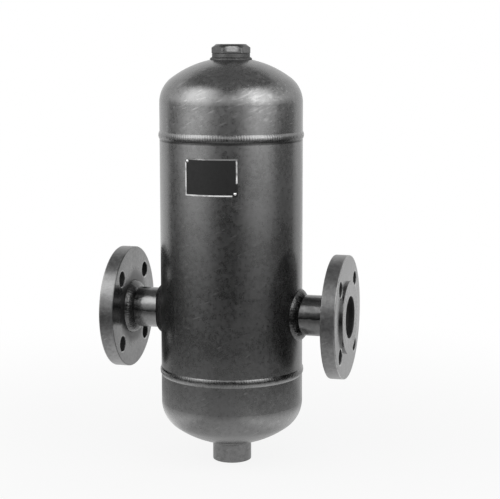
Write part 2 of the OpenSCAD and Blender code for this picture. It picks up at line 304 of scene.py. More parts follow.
floor_finish, tree, (x, y, z) = clear_finish("white_floor")
out = hypotenuse(tree, x, y)
direct, glossy = ray_kinds(tree)
direct_share = product(tree, direct, ramp(tree, out, NEAR_R, FAR_R, NEAR_GLOW, 1.0))
share = total(tree, direct_share, product(tree, glossy, REFLECTED_SHARE))
level = total(tree, ramp(tree, out, FOOT_R, FRONT_R, FOOT_LEVEL, FRONT_LEVEL),
              ramp(tree, out, FRONT_R, FAR_R, 0.0, 1.0 / REFLECTED_SHARE - FRONT_LEVEL))
level = product(tree, level, ramp(tree, x, *RIGHT, 1.0, RIGHT_SHADE))
level = highest(tree, level, ramp(tree, y, *BEHIND, 0.0, BEHIND_LEVEL / REFLECTED_SHARE))
beside = product(tree, ramp(tree, calc(tree, "ABSOLUTE", x), *BESIDE, 0.0, BESIDE_GAIN),
                 ramp(tree, out, *BESIDE_END, 1.0, 0.0))
level = product(tree, level, total(tree, beside, 1.0))
strength = total(tree, product(tree, glossy, level), calc(tree, "SUBTRACT", 1.0, glossy))
matt = add(tree, "BsdfDiffuse")
feed(tree, grey(FLOOR_COLOUR), matt.inputs["Color"])
end_with(tree, mix_shaders(tree, share, matt.outputs[0], emission(tree, strength)))
print("floor finish of", len(tree.nodes), "nodes")

# %% Lay the floor
FLOOR_R = 4.0
DISC_STEPS = 64


def place_mesh(name, bm, finish):
    """Makes an object at the origin from a bmesh, with its finish."""
    mesh = bpy.data.meshes.new(name)
    bm.to_mesh(mesh)
    bm.free()
    mesh.materials.append(finish)
    made = bpy.data.objects.new(name, mesh)
    bpy.context.collection.objects.link(made)
    return made


def disc(radius, height):
    """A flat round plate at a height."""
    bm = bmesh.new()
    bmesh.ops.create_circle(bm, cap_ends=True, radius=radius, segments=DISC_STEPS)
    bmesh.ops.translate(bm, verts=bm.verts, vec=(0, 0, height))
    return bm


floor = place_mesh("floor", disc(FLOOR_R, 0), floor_finish)
print("floor of radius", FLOOR_R, "m")

# %% [markdown]
# The soft boxes are two upright area lamps, one on either side of the camera. They light the plate, the
# floor and what little of the paint isn't metallic. Reflections don't see them, because the screen that
# follows shows a softer picture of them.

# %% Set up the two soft boxes
SOFT_BOX_DISTANCE = 0.65
SOFT_BOX_WIDTH = 0.72
SOFT_BOX_LOW = 0.36
SOFT_BOX_HIGH = 1.15
SOFT_BOX_LEVEL = 1.8
LEFT_AZIMUTH = -38
RIGHT_AZIMUTH = 60


def soft_box(name, azimuth):
    """A large upright lamp that faces the vessel's axis. Azimuth 0 is the front, and 90 is the right."""
    lamp = bpy.data.lights.new(name, "AREA")
    lamp.shape = "RECTANGLE"
    lamp.size = SOFT_BOX_WIDTH
    lamp.size_y = SOFT_BOX_HIGH - SOFT_BOX_LOW
    lamp.energy = SOFT_BOX_LEVEL * math.pi * lamp.size * lamp.size_y
    made = bpy.data.objects.new(name, lamp)
    bpy.context.collection.objects.link(made)
    angle = math.radians(azimuth)
    out = Vector((math.sin(angle), -math.cos(angle), 0))
    made.location = out * SOFT_BOX_DISTANCE + Vector((0, 0, (SOFT_BOX_LOW + SOFT_BOX_HIGH) / 2))
    made.rotation_euler = out.to_track_quat("Z", "Y").to_euler()
    made.visible_camera = False
    made.visible_glossy = False
    print(f"{name}: {lamp.energy:.1f} W at azimuth {azimuth}")


soft_box("left_soft_box", LEFT_AZIMUTH)
soft_box("right_soft_box", RIGHT_AZIMUTH)

# %% [markdown]
# The screen is a tall curved wall round the vessel, open at the back, with a dim ceiling over it. Its
# glow is drawn by azimuth and height. Each soft box is a band that fades out on either side. Below, the
# glow thins to a skirt, because a soft box is dimmer near its hem. Higher up the two bands overlap in
# front, which softens the dark gap between the dome's two highlights.

# %% Draw the glow of the screen
MIRRORED_LEVEL = 3.8
CEILING_LEVEL = 0.28
# Azimuths where each soft box begins to glow, is full, is full still and has faded
LEFT_GLOW = (-92, -45, -38, 9)
RIGHT_GLOW = (18, 56, 66, 104)
# Levels between the soft boxes and outside them, and how far off the middle the one becomes the other
BETWEEN_LEVEL, OUTER_LEVEL = 0.07, 0.2
OUTER_RISE = (60, 95)
# Heights where the glow's skirt and its body begin and are full, and where it fades at the top
SKIRT_RISE = (0.03, 0.36)
BODY_RISE = (0.38, 0.58)
TOP_FADE = (0.9, 1.5)
SKIRT_SHARE = 0.37
# Heights over which the right soft box rises from a share of its glow to all of it
RIGHT_RISE = (0.22, 0.48)
RIGHT_LOW_SHARE = 0.72
# Heights between which the two glows overlap in front of the camera
OVERLAP_HEIGHTS = (0.33, 0.50, 0.62, 1.10)
OVERLAP_LEVEL = 0.33


def band(tree, value, limits):
    """1 in the middle of four limits, fading to 0 on either side."""
    return product(tree, ramp(tree, value, *limits[:2]), ramp(tree, value, *limits[2:], 1.0, 0.0))


screen_finish, tree, (x, y, z) = clear_finish("soft_screen")
azimuth = calc(tree, "DEGREES", calc(tree, "ARCTAN2", x, product(tree, y, -1.0)))
left_glow = band(tree, azimuth, LEFT_GLOW)
right_share = ramp(tree, z, *RIGHT_RISE, RIGHT_LOW_SHARE, 1.0)
right_glow = product(tree, band(tree, azimuth, RIGHT_GLOW), right_share)
off_middle = calc(tree, "SUBTRACT", azimuth, (LEFT_AZIMUTH + RIGHT_AZIMUTH) / 2)
outer = ramp(tree, calc(tree, "ABSOLUTE", off_middle), *OUTER_RISE, BETWEEN_LEVEL, OUTER_LEVEL)
overlap = product(tree, band(tree, z, OVERLAP_HEIGHTS), OVERLAP_LEVEL)
around = highest(tree, left_glow, right_glow, outer, overlap)
upward = total(tree, ramp(tree, z, *SKIRT_RISE, 0.0, SKIRT_SHARE),
               ramp(tree, z, *BODY_RISE, 0.0, 1 - SKIRT_SHARE))
toward_top = ramp(tree, z, *TOP_FADE, 1.0, CEILING_LEVEL / MIRRORED_LEVEL)
end_with(tree, emission(tree, product(tree, around, upward, toward_top, MIRRORED_LEVEL)))
print("screen glow of", len(tree.nodes), "nodes")

# %% Hang the screen and the ceiling
SCREEN_R = 0.65
SCREEN_TOP = 1.5
SCREEN_HALF_TURN = math.radians(113)
SCREEN_STEPS = 60
CEILING_R = 1.1


def reflected_only(stage_piece):
    """Keeps a stage piece for reflections, out of the camera's sight and of the light on the floor."""
    stage_piece.visible_camera = False
    stage_piece.visible_diffuse = False
    stage_piece.visible_shadow = False


bm = bmesh.new()
toward_camera = math.atan2(CAMERA_PLACE.y, CAMERA_PLACE.x)
start = Matrix.Rotation(toward_camera - SCREEN_HALF_TURN, 4, "Z")
hem = [bm.verts.new(start @ Vector((SCREEN_R, 0, height))) for height in (0, SCREEN_TOP)]
pole = bm.edges.new(hem)
bmesh.ops.spin(bm, geom=hem + [pole], cent=(0, 0, 0), axis=(0, 0, 1), angle=2 * SCREEN_HALF_TURN,
               steps=SCREEN_STEPS)
screen = place_mesh("screen", bm, screen_finish)
reflected_only(screen)

ceiling_finish, tree, _ = clear_finish("dim_ceiling")
end_with(tree, emission(tree, CEILING_LEVEL))
reflected_only(place_mesh("ceiling", disc(CEILING_R, SCREEN_TOP), ceiling_finish))
print("screen of", len(screen.data.polygons), "panels under a dim ceiling")

# %% [markdown]
# ## Paint
# The vessel is sprayed with a dark graphite paint. Its flakes of pigment shine like metal, so the
# finish is mostly metallic with a dark colour, and the little that isn't gives the paint its body.
# One plain shader would look like plastic. A broad cloudiness, a fine grain, a slow waviness of the
# steel and long faint scratches and scuffs from handling break the reflections up. Object coordinates
# fix all of it to the steel.

# %% Define patterns that follow the steel


def start_finish(name):
    """A new material with its node tree, its shader and the place of a point on the object."""
    finish = bpy.data.materials.new(name)
    finish.use_nodes = True
    tree = finish.node_tree
    shader = tree.nodes["Principled BSDF"]
    return finish, tree, shader, add(tree, "TexCoord").outputs["Object"]


def noise(tree, place, density, detail=2.0, stretch=None, slant=0.0):
    """Noise with a density in features per metre, drawn out along X, Y and Z and slanted if asked."""
    if stretch:
        mapping = add(tree, "Mapping", vector_type="TEXTURE")
        feed(tree, place, mapping.inputs["Vector"])
        feed(tree, stretch, mapping.inputs["Scale"])
        feed(tree, (0, -slant, 0), mapping.inputs["Rotation"])
        place = mapping.outputs["Vector"]
    item = add(tree, "TexNoise")
    feed(tree, place, item.inputs["Vector"])
    feed(tree, density, item.inputs["Scale"])
    feed(tree, detail, item.inputs["Detail"])
    return item.outputs["Fac"]


def blend_colour(tree, share, colour_a, colour_b):
    """Mix of two colours by a share. A Mix node has its colour sockets after those for numbers."""
    item = add(tree, "Mix", data_type="RGBA")
    feed(tree, share, item.inputs[0])
    feed(tree, colour_a, item.inputs[6])
    feed(tree, colour_b, item.inputs[7])
    return item.outputs[2]


def bump(tree, height, depth, under=None):
    """Normal of a surface that rises by up to the given depth in metres."""
    item = add(tree, "Bump")
    feed(tree, 1.0, item.inputs["Strength"])
    feed(tree, depth, item.inputs["Distance"])
    feed(tree, height, item.inputs["Height"])
    if under:
        feed(tree, under, item.inputs["Normal"])
    return item.outputs["Normal"]


print("patterns ready")

# %% Mix the paint
GRAPHITE = 0.185
FLAKE_SHARE = 0.95
# Densities, in features per metre
CLOUDS, MOTTLE, GRAIN, SCRATCHES, SCUFFS = 18, 210, 700, 160, 420
# Shares of the first three in the shade, and the range of the shade that is used
CLOUD_SHARE, MOTTLE_SHARE, GRAIN_SHARE = 0.36, 0.384, 0.256
SHADE_RANGE = (0.36, 0.64)
SCRATCH_STRETCH = (1, 1, 20)
SCRATCH_RANGE = (0.62, 0.72)
SCRATCH_TINT, SCUFF_TINT, FULL_TINT = 0.25, 0.9, 1.2
SCUFF_STRETCH = (7, 2, 1)
SCUFF_SLANT = math.radians(24)
SCUFF_FADE = 0.12
SCUFF_SHARE = 0.4
SCUFF_PALER = 2.0


def scuff_noise(tree, place):
    """Slanted, drawn-out noise."""
    return noise(tree, place, SCUFFS, stretch=SCUFF_STRETCH, slant=SCUFF_SLANT)


def graphite_paint(name, tone=GRAPHITE, gloss=(0.26, 0.34), wave=(30, 0.4 * MM), grain_depth=0.03 * MM,
                   patchy=0.16, scuffed=0.66):
    """Dark sprayed paint on steel. Gloss is a range of roughness, wave a density and a depth, patchy
    the share by which the tone varies, and a lower scuffed means more scuffs."""
    finish, tree, shader, place = start_finish(name)
    feed(tree, FLAKE_SHARE, shader.inputs["Metallic"])
    grain = noise(tree, place, GRAIN)
    shade = total(tree, product(tree, noise(tree, place, CLOUDS, detail=4), CLOUD_SHARE),
                  product(tree, noise(tree, place, MOTTLE, detail=3), MOTTLE_SHARE),
                  product(tree, grain, GRAIN_SHARE))
    scratches = noise(tree, place, SCRATCHES, detail=3, stretch=SCRATCH_STRETCH)
    scratches = ramp(tree, scratches, *SCRATCH_RANGE)
    scuffs = ramp(tree, scuff_noise(tree, place), scuffed, scuffed + SCUFF_FADE)
    tint = total(tree, ramp(tree, shade, *SHADE_RANGE), product(tree, scratches, SCRATCH_TINT),
                 product(tree, scuffs, SCUFF_TINT))
    coat = blend_colour(tree, tint, grey(tone * (1 - patchy)), grey(tone * (1 + patchy)))
    worn = product(tree, scuffs, SCUFF_SHARE)
    feed(tree, blend_colour(tree, worn, coat, grey(tone * SCUFF_PALER)), shader.inputs["Base Color"])
    feed(tree, ramp(tree, tint, 0.0, FULL_TINT, *gloss), shader.inputs["Roughness"])
    normal = bump(tree, noise(tree, place, wave[0]), wave[1])
    feed(tree, bump(tree, grain, grain_depth, normal), shader.inputs["Normal"])
    return finish, tree, shader, place


print("paint of tone", GRAPHITE, "ready")

# %% [markdown]
# A painted shadow lies along the lower edge of the upper seam as a dark line, where the bead's lower flank
# is in shade. It lies on the shell and on the bead alike, so both paints get it, at a distance below the
# middle of the seam.
# The beads on the flanges' backs and the outlet's saddle have darker, blotchier paints of their own:
# painted shade for the recesses where they sit, between flange and shell and between pipe and shell.

# %% Paint the vessel and mix the paints of its welds
SEAM_SHADOW_BAND = (2.6 * MM, 4.0 * MM, 6.0 * MM, 7.6 * MM)
SEAM_SHADOW_SHARE = 0.65
VESSEL_PATCHY = 0.14


def source_of(shader, name):
    """The output that feeds a socket of a shader."""
    return shader.inputs[name].links[0].from_socket


def recolour(tree, shader, share, tone):
    """Turns a shader's colour to a grey by a share."""
    mixed = blend_colour(tree, share, source_of(shader, "Base Color"), grey(tone))
    feed(tree, mixed, shader.inputs["Base Color"])


def paint_nodes(finish, *names):
    """Gives CAD pieces a finish."""
    for name in names:
        nodes[name].data.materials[0] = finish


def seam_shadowed_paint(name, **settings):
    """A graphite paint with a painted shadow, a dark line below the upper seam."""
    finish, tree, shader, place = graphite_paint(name, **settings)
    # Painted shadow: a dark band a little below the seam's middle
    below = calc(tree, "SUBTRACT", middle("top_seam_weld", Z), coordinates(tree, place)["Z"])
    recolour(tree, shader, product(tree, band(tree, below, SEAM_SHADOW_BAND), SEAM_SHADOW_SHARE), 0.0)
    return finish


vessel_paint = seam_shadowed_paint("vessel_paint", patchy=VESSEL_PATCHY)
weld_paint = seam_shadowed_paint("weld_paint", tone=GRAPHITE * 0.95, gloss=(0.22, 0.32), wave=(160, 0.3 * MM))
# Darker copies of the weld paint, as painted shade in those recesses
shaded_back_weld_paint = graphite_paint("shaded_back_weld_paint", tone=GRAPHITE * 0.55, gloss=(0.16, 0.30),
                                 wave=(160, 0.7 * MM), patchy=0.5)[0]
shaded_saddle_weld_paint = graphite_paint("shaded_saddle_weld_paint", tone=GRAPHITE * 0.38, gloss=(0.2, 0.34),
                                  wave=(160, 0.7 * MM), patchy=0.6)[0]
paint_nodes(vessel_paint, "shell", "bottom_head")
print("shell and bottom head painted")

# %% [markdown]
# The top head has been dragged along something hard, and its front right shoulder is scuffed most. The
# same slanted noise does it, let through more freely the nearer a point is to that shoulder.

# %% Scuff the top head
SHOULDER = (0.052, -0.060, 0.435)
SHOULDER_R = (0.015, 0.045)
SHOULDER_SHARE = 0.26
SHOULDER_RANGE = (0.48, 0.62)

head_paint, tree, shader, place = graphite_paint("head_paint", patchy=VESSEL_PATCHY, scuffed=0.62)
away = add(tree, "VectorMath", operation="DISTANCE")
feed(tree, place, away.inputs[0])
feed(tree, SHOULDER, away.inputs[1])
near = ramp(tree, away.outputs["Value"], *SHOULDER_R, SHOULDER_SHARE, 0.0)
scuffs = ramp(tree, scuff_noise(tree, place), *SHOULDER_RANGE)
recolour(tree, shader, product(tree, near, scuffs), GRAPHITE * SCUFF_PALER)
paint_nodes(head_paint, "top_head")
print("top head scuffed")

# %% [markdown]
# The vent's plug is a forged hexagon, and the sockets have kept their forging skin. They took the paint
# badly, so they are rougher than the vessel. The vent's socket and its bead are darker too, as painted
# shade under the plug. The flat of the plug that faces the camera carries a painted highlight, a pale patch
# placed on the flat itself: one measure runs along the flat, one stands out from it and one climbs it.

# %% Finish the sockets and the plug
FORGED_GRAIN = 0.08 * MM
PLUG_TURN = math.radians(20)
HIGHLIGHT_ALONG = (5 * MM, 9 * MM)
HIGHLIGHT_OUT = (18.5 * MM, 19.6 * MM)
HIGHLIGHT_FROM_TOP = (1.8 * MM, 3.0 * MM, 7.6 * MM, 9.2 * MM)
HIGHLIGHT_PATCHES = 300
HIGHLIGHT_RANGE, HIGHLIGHT_SHARES = (0.3, 0.55), (0.55, 1.0)
HIGHLIGHT_GREY = 0.42


def turned(tree, x, y, cosine, sine):
    """Sum of two measures, each times a number: a measure along a turned direction."""
    return total(tree, product(tree, x, cosine), product(tree, y, sine))


socket_paint = graphite_paint("socket_paint", gloss=(0.30, 0.44), wave=(220, 0.5 * MM),
                              grain_depth=FORGED_GRAIN, patchy=0.28)[0]
# Darker tone: painted shade under the plug
shaded_vent_paint = graphite_paint("shaded_vent_paint", tone=GRAPHITE * 0.42, gloss=(0.5, 0.65),
                            wave=(220, 0.5 * MM), grain_depth=FORGED_GRAIN)[0]
plug_paint, tree, shader, place = graphite_paint(
    "plug_paint", tone=GRAPHITE * 0.6, gloss=(0.3, 0.42), wave=(220, 0.4 * MM), grain_depth=FORGED_GRAIN)
x, y, z = coordinates(tree, place)
along = calc(tree, "ABSOLUTE", turned(tree, x, y, math.cos(PLUG_TURN), math.sin(PLUG_TURN)))
out = turned(tree, x, y, math.sin(PLUG_TURN), -math.cos(PLUG_TURN))
from_top = calc(tree, "SUBTRACT", span("vent_plug", Z)[1], z)
# Painted highlight: a pale patch on the flat that faces the camera
painted_highlight = product(tree, ramp(tree, along, *HIGHLIGHT_ALONG, 1.0, 0.0), ramp(tree, out, *HIGHLIGHT_OUT),
                 band(tree, from_top, HIGHLIGHT_FROM_TOP),
                 ramp(tree, noise(tree, place, HIGHLIGHT_PATCHES, detail=3), *HIGHLIGHT_RANGE, *HIGHLIGHT_SHARES))
recolour(tree, shader, painted_highlight, HIGHLIGHT_GREY)
print("plug rubbed on one flat")

# %% [markdown]
# The nozzles are painted outside only. Inside they are matt black: the scale that steam leaves, darkened
# further as painted shade for the dark bore. So the pipes' finish changes with the distance from the
# nozzle's axis. Two materials on separate faces would do as well, but the CAD pipe's mesh stays as it is.

# %% Paint the pipes
SHADE_AND_SCALE_BLACK = 0.02
SCALE_ROUGHNESS = 0.85
PIPE_FADE = (-1.5 * MM, -1.0 * MM)


def within(tree, measure, limit, fade):
    """1 before a limit and 0 past it. Fade gives two offsets from the limit, where the change is."""
    return ramp(tree, measure, limit + fade[0], limit + fade[1], 1.0, 0.0)


def distance_from_nozzle(tree, place):
    """Outputs: how far a point is from the nozzles' axis, and from the vessel's middle plane."""
    x, y, z = coordinates(tree, place)
    up = calc(tree, "SUBTRACT", z, nozzle_z)
    return hypotenuse(tree, y, up), calc(tree, "ABSOLUTE", x)


def blacken_as_shade(tree, shader, inside):
    """Turns a paint to matt black by a share: painted shade in bores and holes."""
    recolour(tree, shader, inside, SHADE_AND_SCALE_BLACK)
    outside = calc(tree, "SUBTRACT", 1.0, inside)
    roughness = total(tree, product(tree, source_of(shader, "Roughness"), outside),
                      product(tree, inside, SCALE_ROUGHNESS))
    feed(tree, roughness, shader.inputs["Roughness"])
    feed(tree, product(tree, outside, FLAKE_SHARE), shader.inputs["Metallic"])


# The face welds sit inside the flanges' bores: matt black, as painted shade over scale
shade_and_scale_black = graphite_paint("shade_and_scale_black", tone=SHADE_AND_SCALE_BLACK, gloss=(0.6, 0.8))[0]
pipe_paint, tree, shader, place = graphite_paint(
    "pipe_paint", tone=GRAPHITE * 0.8, gloss=(0.14, 0.23), wave=(90, 0.4 * MM))
from_nozzle, _ = distance_from_nozzle(tree, place)
# Matt black inside the pipe: painted shade for the dark bore
blacken_as_shade(tree, shader, within(tree, from_nozzle, pipe_r, PIPE_FADE))
paint_nodes(pipe_paint, "inlet_pipe", "outlet_pipe")
print("pipes black inside")

# %% [markdown]
# The flanges were turned, so their faces are smoother than the rolled shell. Round each hole and along the
# front edges the paint is paler: partly wear from bolts and washers, partly a painted highlight where those
# edges catch the light. Both follow from distances: from the nearest bolt hole, and from the rim and the
# stepped face. The four holes are alike, so one distance does for all of them once the signs are dropped.

# %% Paint the flanges, wear them and paint highlights on their edges
BOLT_CIRCLE_R = 55 * MM
BOLT_HOLE_R = 9 * MM
FACE_RISE = 3 * MM
HOLE_WEAR_AND_HIGHLIGHT = (0.8 * MM, 2.2 * MM)
EDGE_FADE = (-1.6 * MM, -0.6 * MM)
EDGE_WEAR_AND_HIGHLIGHT = 0.6
WEAR_AND_HIGHLIGHT_PATCHES = 240
WEAR_AND_HIGHLIGHT_RANGE, WEAR_AND_HIGHLIGHT_SHARES = (0.3, 0.6), (0.35, 0.9)
WORN_STEEL_AND_HIGHLIGHT = 0.5


def beyond(tree, measure, limit, fade):
    """1 past a limit and 0 before it."""
    return ramp(tree, measure, limit + fade[0], limit + fade[1])


flange_paint, tree, shader, place = graphite_paint(
    "flange_paint", gloss=(0.17, 0.27), wave=(60, 0.2 * MM), grain_depth=0.06 * MM, patchy=0.24)
from_nozzle, from_middle = distance_from_nozzle(tree, place)
bolt_offset = BOLT_CIRCLE_R * math.sqrt(0.5)
x, y, z = coordinates(tree, place)
aside = calc(tree, "SUBTRACT", calc(tree, "ABSOLUTE", y), bolt_offset)
up = calc(tree, "ABSOLUTE", calc(tree, "SUBTRACT", z, nozzle_z))
from_hole = hypotenuse(tree, aside, calc(tree, "SUBTRACT", up, bolt_offset))

step_x = flange_front_x - FACE_RISE
# Paler round the holes and along the front edges: wear, and a painted highlight where the edges catch the
# light
at_edge = product(tree, beyond(tree, from_nozzle, flange_r, EDGE_FADE),
                  beyond(tree, from_middle, step_x, EDGE_FADE), EDGE_WEAR_AND_HIGHLIGHT)
painted_highlight = highest(tree, within(tree, from_hole, BOLT_HOLE_R, HOLE_WEAR_AND_HIGHLIGHT), at_edge)
patches = ramp(tree, noise(tree, place, WEAR_AND_HIGHLIGHT_PATCHES, detail=3), *WEAR_AND_HIGHLIGHT_RANGE, *WEAR_AND_HIGHLIGHT_SHARES)
recolour(tree, shader, product(tree, painted_highlight, patches), WORN_STEEL_AND_HIGHLIGHT)
print("flanges worn at their edges and holes")

# %% [markdown]
# The rims are coarser than the faces. A ragged ring of painted shade darkens and dulls the backs round the
# bead, where they face the shell. The walls of the bolt holes and the bore are painted black, as shade. The
# raised faces keep the fine grooves that the lathe cut for the gasket: rings round the nozzle's axis, too
# fine to model.

# %% Shade the flanges' backs, bores and holes, and groove their faces
RIM_FADE = (-1.0 * MM, -0.2 * MM)
RIM_ROUGHER = 0.16
RIM_DARKER = 0.04
BACK_SHADE_R = (42 * MM, 58 * MM)
BACK_SHADE_PATCHES = 70
BACK_SHADE_RAGGED = 12 * MM
BACK_SHADE_SHARE = 0.4
BACK_SHADE_DULLER = 0.6
BACK_FADE = (0.1 * MM, 0.5 * MM)
BORE_FADE = (0.6 * MM, 0.9 * MM)
HOLE_FADE = (0.1 * MM, 0.4 * MM)
FACE_FADE = (-0.1 * MM, -0.05 * MM)
GROOVE_PITCH = 0.8 * MM
GROOVE_DEPTH = 0.02 * MM


def roughen(tree, shader, more):
    """Adds to a shader's roughness."""
    feed(tree, total(tree, source_of(shader, "Roughness"), more), shader.inputs["Roughness"])


on_rim = beyond(tree, from_nozzle, flange_r, RIM_FADE)
roughen(tree, shader, product(tree, on_rim, RIM_ROUGHER))
recolour(tree, shader, product(tree, on_rim, RIM_DARKER), 0.0)
# Painted shade: a ragged dark ring on the back round the bead
ragged = total(tree, from_nozzle, product(tree, noise(tree, place, BACK_SHADE_PATCHES, detail=3), BACK_SHADE_RAGGED))
painted_back_shade = product(tree, ramp(tree, ragged, *BACK_SHADE_R, BACK_SHADE_SHARE, 0.0),
               within(tree, from_middle, flange_back_x, BACK_FADE))
roughen(tree, shader, product(tree, painted_back_shade, BACK_SHADE_DULLER))
recolour(tree, shader, painted_back_shade, SHADE_AND_SCALE_BLACK)
# The bore and the bolt holes are painted black as shade
in_bore = within(tree, from_nozzle, pipe_r, BORE_FADE)
in_hole = within(tree, from_hole, BOLT_HOLE_R, HOLE_FADE)
blacken_as_shade(tree, shader, highest(tree, in_bore, in_hole))
rings = calc(tree, "SINE", product(tree, from_nozzle, 2 * math.pi / GROOVE_PITCH))
rings = product(tree, rings, beyond(tree, from_middle, flange_front_x, FACE_FADE))
feed(tree, bump(tree, rings, GROOVE_DEPTH, source_of(shader, "Normal")), shader.inputs["Normal"])
print("flange paint of", len(tree.nodes), "nodes")

# %% [markdown]
# ## Weld beads
# A welder lays each bead as a row of overlapping puddles, and every puddle freezes with a curved front.
# The ripples could be a bump in the paint, but they are deep enough to break the light along the seams,
# so they are modelled. Each bead is a section spun round its axis into many narrow slices. Then every
# point of its crest sinks towards the root by a share that depends on where it lies in its ripple. A
# little drift keeps the ripples from looking machined. Spinning a section and finishing a piece come
# back for every turned piece, so they are defined first.

# %% Define how a section is spun and a piece is finished
SHARP_ANGLE = math.radians(38)
HAIR = 0.02 * MM
MERGE = 0.001 * MM


def spread(first, last, steps):
    """Evenly spaced numbers, both ends included."""
    return [first + (last - first) * i / steps for i in range(steps + 1)]


def arc(centre, radius, from_angle, to_angle, steps):
    """Points on an arc, both ends included."""
    return [(centre[0] + radius * math.cos(angle), centre[1] + radius * math.sin(angle))
            for angle in spread(from_angle, to_angle, steps)]


def spin_section(section, steps):
    """A closed ring: a section of (radius, height) points spun once round the Z axis."""
    bm = bmesh.new()
    line = [bm.verts.new((radius, 0, height)) for radius, height in section]
    outline = [bm.edges.new(pair) for pair in zip(line, line[1:] + line[:1])]
    bmesh.ops.spin(bm, geom=line + outline, cent=(0, 0, 0), axis=(0, 0, 1), angle=2 * math.pi,
                   steps=steps, use_merge=True)
    bmesh.ops.remove_doubles(bm, verts=bm.verts, dist=MERGE)
    return bm


def finish_piece(node, bm, finish):
    """Turns a bmesh into the piece that stands for a CAD node, smooth but for its sharp edges."""
    bm.normal_update()
    bmesh.ops.recalc_face_normals(bm, faces=bm.faces)
    for face in bm.faces:
        face.smooth = True
    for edge in bm.edges:
        edge.smooth = edge.calc_face_angle(0) < SHARP_ANGLE
    piece = place_mesh(node + "_piece", bm, finish)
    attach(piece, "root")
    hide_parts(node)
    print(piece.name, len(piece.data.polygons), "faces")
    return piece


print(f"edges over {math.degrees(SHARP_ANGLE):.0f} degrees stay sharp")

# %% Define how a ring is sliced
SLICES_PER_RIPPLE = 7


def same_ring(vert_a, vert_b):
    """Tells whether two points of a ring lie on the same circle round its axis."""
    return abs(vert_a.co.z - vert_b.co.z) + abs(vert_a.co.xy.length - vert_b.co.xy.length) < MERGE


def slice_ring(bm, steps):
    """Cuts each step of a spun ring into slices, and pushes the new points out from chord to arc."""
    step = 2 * math.pi / steps
    around = [edge for edge in bm.edges if same_ring(*edge.verts)]
    bmesh.ops.subdivide_edges(bm, edges=around, cuts=SLICES_PER_RIPPLE - 1, use_grid_fill=True)
    for vert in bm.verts:
        from_middle = math.atan2(vert.co.y, vert.co.x) % step - step / 2
        to_arc = math.cos(from_middle) / math.cos(step / 2)
        vert.co.x, vert.co.y = vert.co.x * to_arc, vert.co.y * to_arc


print(SLICES_PER_RIPPLE, "slices for each ripple")

# %% Define a rippled bead
RIPPLE_PITCH = 3.3 * MM
RIPPLE_DEPTH = 0.2 * MM
# How far a ripple's front lags at the bead's sides, and how sharp the valleys are
RIPPLE_LAG = 2.2
VALLEY_POWER = 1.5
# Strength and density, in waves round the bead, of the ripples' drift and of the lumps
DRIFT, DRIFT_WAVES = 2.4, 3
LUMPS, LUMP_WAVES, LUMP_SEED = 0.9, 9, 7


def ripple_sink(angle, side, ripples, seed):
    """How far a point of a crest sinks. Side runs from -1 to 1 across the bead."""
    round_trip = Vector((math.cos(angle), math.sin(angle), 0))
    drift = DRIFT * noise_at(round_trip * DRIFT_WAVES + Vector((0, 0, seed)))
    valley = 1 - abs(math.sin((ripples * angle + RIPPLE_LAG * side ** 2 + drift) / 2))
    lump = 0.5 + 0.5 * noise_at(round_trip * LUMP_WAVES + Vector((0, side, seed + LUMP_SEED)))
    return RIPPLE_DEPTH * (1 - side ** 2) * (valley ** VALLEY_POWER + LUMPS * lump)


def section_key(radius, height):
    """A point of a section, rounded so that it can be found again after the spin."""
    return round(radius / MM, 3), round(height / MM, 3)


def rippled_bead(node, crest, root, place, seed, finish=weld_paint):
    """A bead with ripples. Crest and root are (radius, height) points, and place puts one in space."""
    across = {section_key(*point): side for point, side in zip(crest, spread(-1, 1, len(crest) - 1))}
    mean_r = sum(radius for radius, height in crest) / len(crest)
    ripples = round(2 * math.pi * mean_r / RIPPLE_PITCH)
    bm = spin_section(crest + root, ripples)
    slice_ring(bm, ripples)
    heart = sum((Vector(point) for point in root), Vector((0, 0))) / len(root)
    for vert in bm.verts:
        radius, height = math.hypot(vert.co.x, vert.co.y), vert.co.z
        angle = math.atan2(vert.co.y, vert.co.x)
        side = across.get(section_key(radius, height))
        if side is not None:
            inward = (heart - Vector((radius, height))).normalized()
            sink = ripple_sink(angle, side, ripples, seed)
            radius, height = radius + inward.x * sink, height + inward.y * sink
        vert.co = place(radius, angle, height)
    finish_piece(node, bm, finish)


print(f"ripples of {RIPPLE_PITCH / MM:.1f} mm")

# %% [markdown]
# The two seams join the heads to the shell. Each fills a groove with sloped sides and stands a little
# proud under a rounded cap, so its section is the groove below and an arc above.

# %% Lay the seam beads
VESSEL_WALL = 7.1 * MM
GROOVE_WIDTH = 8.4 * MM
CAP_WIDTH = 9.4 * MM
CAP_STEPS = 10
ROOT_GAP = 2 * MM
ROOT_LAND = 1.6 * MM

bore_r = vessel_r - VESSEL_WALL
root_half = [(vessel_r, GROOVE_WIDTH / 2), (bore_r + ROOT_LAND, ROOT_GAP / 2), (bore_r, ROOT_GAP / 2)]
root = root_half + [(radius, -height) for radius, height in reversed(root_half)]


def on_vessel(radius, angle, height):
    """A point round the vessel's axis."""
    return Vector((radius * math.cos(angle), radius * math.sin(angle), height))


for seed, node in enumerate(("bottom_seam_weld", "top_seam_weld")):
    seam_z = middle(node, Z)
    cap_rise = span(node, Y)[1] - vessel_r - HAIR
    cap_r = ((CAP_WIDTH / 2) ** 2 + cap_rise ** 2) / (2 * cap_rise)
    half_arc = math.asin(CAP_WIDTH / 2 / cap_r)
    crest = arc((vessel_r + cap_rise - cap_r, 0), cap_r, -half_arc, half_arc, CAP_STEPS)
    rippled_bead(node, crest, root, seed=10 * seed,
                 place=lambda radius, angle, height: on_vessel(radius, angle, seam_z + height))

# %% [markdown]
# On each nozzle, three fillets hold the pipe: a saddle bead where it meets the shell, a large bead on
# the back of the flange, and a small one on the pipe's end inside the flange. A saddle bead is a ring
# round the pipe whose foot follows the shell's curve, so its points are pushed out along the nozzle by
# the shell's depth at that place.

